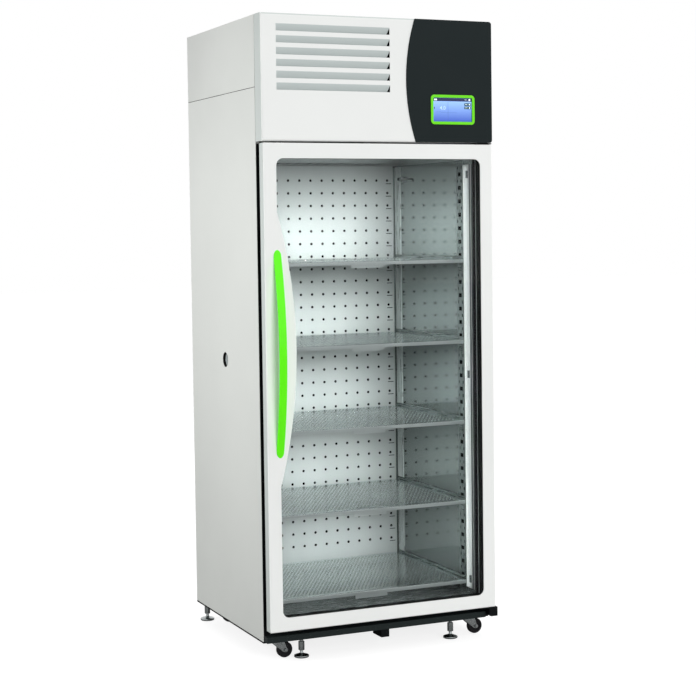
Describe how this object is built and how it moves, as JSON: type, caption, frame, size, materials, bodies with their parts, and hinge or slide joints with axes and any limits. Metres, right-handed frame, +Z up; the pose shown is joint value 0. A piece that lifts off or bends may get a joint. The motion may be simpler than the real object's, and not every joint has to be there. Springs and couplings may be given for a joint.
{
  "type": "laboratory incubator",
  "caption": "Tall refrigerated laboratory incubator with a hinged glass door, perforated steel shelves, louvred header with touch screen, casters and levelling feet.",
  "frame": {"origin": "on the floor under the centre of the overall bounding box", "axes": "+X to the right as seen from the front, -Y towards the front (door), +Z up"},
  "size_m": [0.795, 0.7332, 1.985],
  "materials": {
    "white_paint": "satin powder coat",
    "grey_paint": "satin powder coat",
    "black_paint": "satin powder coat",
    "graphite": "fine satin",
    "lime_plastic": "gloss",
    "stainless": "brushed",
    "zinc": "bright plated",
    "clear_glass": "clear",
    "screen_glass": "gloss display",
    "black_rubber": "matte",
    "grey_rubber": "matte",
    "black_plastic": "matte",
    "white_plastic": "frosted",
    "red_plastic": "gloss",
    "foam": "matte foam",
    "aluminium": "mill finish",
    "copper": "bare tube"
  },
  "bodies": {
    "cabinet": {"base_frame": "black_paint", "kick_strip": "black_paint", "caster_plates": "zinc", "side_panel_left": "grey_paint", "side_panel_right": "grey_paint", "back_panel": "grey_paint", "insulation": "foam", "front_frame": "black_paint", "liner_sides": "stainless", "ceiling_panel": "stainless", "floor_pan": "stainless", "duct_panel": "stainless", "pilasters": "stainless", "shelf_rails": "stainless", "lamp_channel": "aluminium", "lamp_diffuser": "white_plastic", "temperature_probe": "stainless", "port_sleeve": "black_plastic", "hinge_brackets": "black_paint", "deck_plate": "zinc", "machine_cover": "grey_paint", "header_cover": "white_paint", "fascia": "graphite", "screen_bezel": "lime_plastic", "screen": "screen_glass", "compressor": "black_paint", "condenser": "aluminium", "fan_shroud": "black_paint", "air_box": "foam", "evaporator": "aluminium", "control_box": "zinc", "refrigerant_lines": "copper", "power_inlet": "black_plastic"},
    "door": {"door_frame": "white_paint", "door_inner_frame": "black_plastic", "door_glass": "clear_glass", "glass_spacer": "black_plastic", "door_gasket": "black_rubber", "door_handle": "lime_plastic"},
    "condenser_rotor": {"condenser_fan": "black_plastic"},
    "blower_rotor": {"circulation_fan": "black_plastic"},
    "stopper": {"port_stopper": "grey_rubber"},
    "mains_switch": {"power_switch": "red_plastic"},
    "shelf_1": {"shelf_1": "stainless"},
    "shelf_2": {"shelf_2": "stainless"},
    "shelf_3": {"shelf_3": "stainless"},
    "shelf_4": {"shelf_4": "stainless"},
    "shelf_5": {"shelf_5": "stainless"},
    "fork_front_left": {"fork_front_left": "zinc"},
    "wheel_front_left": {"wheel_front_left": "black_rubber"},
    "foot_front_left": {"foot_front_left": "zinc"},
    "fork_front_right": {"fork_front_right": "zinc"},
    "wheel_front_right": {"wheel_front_right": "black_rubber"},
    "foot_front_right": {"foot_front_right": "zinc"},
    "fork_rear_left": {"fork_rear_left": "zinc"},
    "wheel_rear_left": {"wheel_rear_left": "black_rubber"},
    "foot_rear_left": {"foot_rear_left": "zinc"},
    "fork_rear_right": {"fork_rear_right": "zinc"},
    "wheel_rear_right": {"wheel_rear_right": "black_rubber"},
    "foot_rear_right": {"foot_rear_right": "zinc"}
  },
  "joints": [
    {"name": "door_hinge", "type": "hinge", "parent": "cabinet", "child": "door", "pos_m": [0.3755, -0.3084, 0.102], "axis": [0, 0, 1], "range_deg": [0, 110]},
    {"name": "condenser_fan_spin", "type": "hinge", "parent": "cabinet", "child": "condenser_rotor", "pos_m": [-0.1575, -0.1684, 1.743], "axis": [0, 1, 0], "continuous": true},
    {"name": "blower_spin", "type": "hinge", "parent": "cabinet", "child": "blower_rotor", "pos_m": [-0.004, 0.1426, 1.746], "axis": [0, 0, 1], "continuous": true},
    {"name": "stopper_pull", "type": "slide", "parent": "cabinet", "child": "stopper", "axis": [-1, 0, 0], "range_m": [0, 0.06]},
    {"name": "mains_switch_rock", "type": "hinge", "parent": "cabinet", "child": "mains_switch", "pos_m": [0.3195, 0.3586, 1.732], "axis": [1, 0, 0], "range_deg": [-16, 0]},
    {"name": "shelf_1_lift", "type": "slide", "parent": "cabinet", "child": "shelf_1", "axis": [0, 0, 1], "range_m": [0, 0.04]},
    {"name": "shelf_2_lift", "type": "slide", "parent": "cabinet", "child": "shelf_2", "axis": [0, 0, 1], "range_m": [0, 0.04]},
    {"name": "shelf_3_lift", "type": "slide", "parent": "cabinet", "child": "shelf_3", "axis": [0, 0, 1], "range_m": [0, 0.04]},
    {"name": "shelf_4_lift", "type": "slide", "parent": "cabinet", "child": "shelf_4", "axis": [0, 0, 1], "range_m": [0, 0.04]},
    {"name": "shelf_5_lift", "type": "slide", "parent": "cabinet", "child": "shelf_5", "axis": [0, 0, 1], "range_m": [0, 0.04]},
    {"name": "caster_front_left_swivel", "type": "hinge", "parent": "cabinet", "child": "fork_front_left", "pos_m": [-0.3395, -0.2424, 0.06], "axis": [0, 0, 1], "continuous": true},
    {"name": "caster_front_left_roll", "type": "hinge", "parent": "fork_front_left", "child": "wheel_front_left", "pos_m": [-0.3175, -0.2424, 0.027], "axis": [0, 1, 0], "continuous": true},
    {"name": "foot_front_left_level", "type": "slide", "parent": "cabinet", "child": "foot_front_left", "axis": [0, 0, 1], "range_m": [-0.02, 0]},
    {"name": "caster_front_right_swivel", "type": "hinge", "parent": "cabinet", "child": "fork_front_right", "pos_m": [0.3315, -0.2424, 0.06], "axis": [0, 0, 1], "continuous": true},
    {"name": "caster_front_right_roll", "type": "hinge", "parent": "fork_front_right", "child": "wheel_front_right", "pos_m": [0.3535, -0.2424, 0.027], "axis": [0, 1, 0], "continuous": true},
    {"name": "foot_front_right_level", "type": "slide", "parent": "cabinet", "child": "foot_front_right", "axis": [0, 0, 1], "range_m": [-0.02, 0]},
    {"name": "caster_rear_left_swivel", "type": "hinge", "parent": "cabinet", "child": "fork_rear_left", "pos_m": [-0.3375, 0.2676, 0.06], "axis": [0, 0, 1], "continuous": true},
    {"name": "caster_rear_left_roll", "type": "hinge", "parent": "fork_rear_left", "child": "wheel_rear_left", "pos_m": [-0.3155, 0.2676, 0.027], "axis": [0, 1, 0], "continuous": true},
    {"name": "foot_rear_left_level", "type": "slide", "parent": "cabinet", "child": "foot_rear_left", "axis": [0, 0, 1], "range_m": [-0.02, 0]},
    {"name": "caster_rear_right_swivel", "type": "hinge", "parent": "cabinet", "child": "fork_rear_right", "pos_m": [0.3295, 0.2676, 0.06], "axis": [0, 0, 1], "continuous": true},
    {"name": "caster_rear_right_roll", "type": "hinge", "parent": "fork_rear_right", "child": "wheel_rear_right", "pos_m": [0.3515, 0.2676, 0.027], "axis": [0, 1, 0], "continuous": true},
    {"name": "foot_rear_right_level", "type": "slide", "parent": "cabinet", "child": "foot_rear_right", "axis": [0, 0, 1], "range_m": [-0.02, 0]}
  ]
}
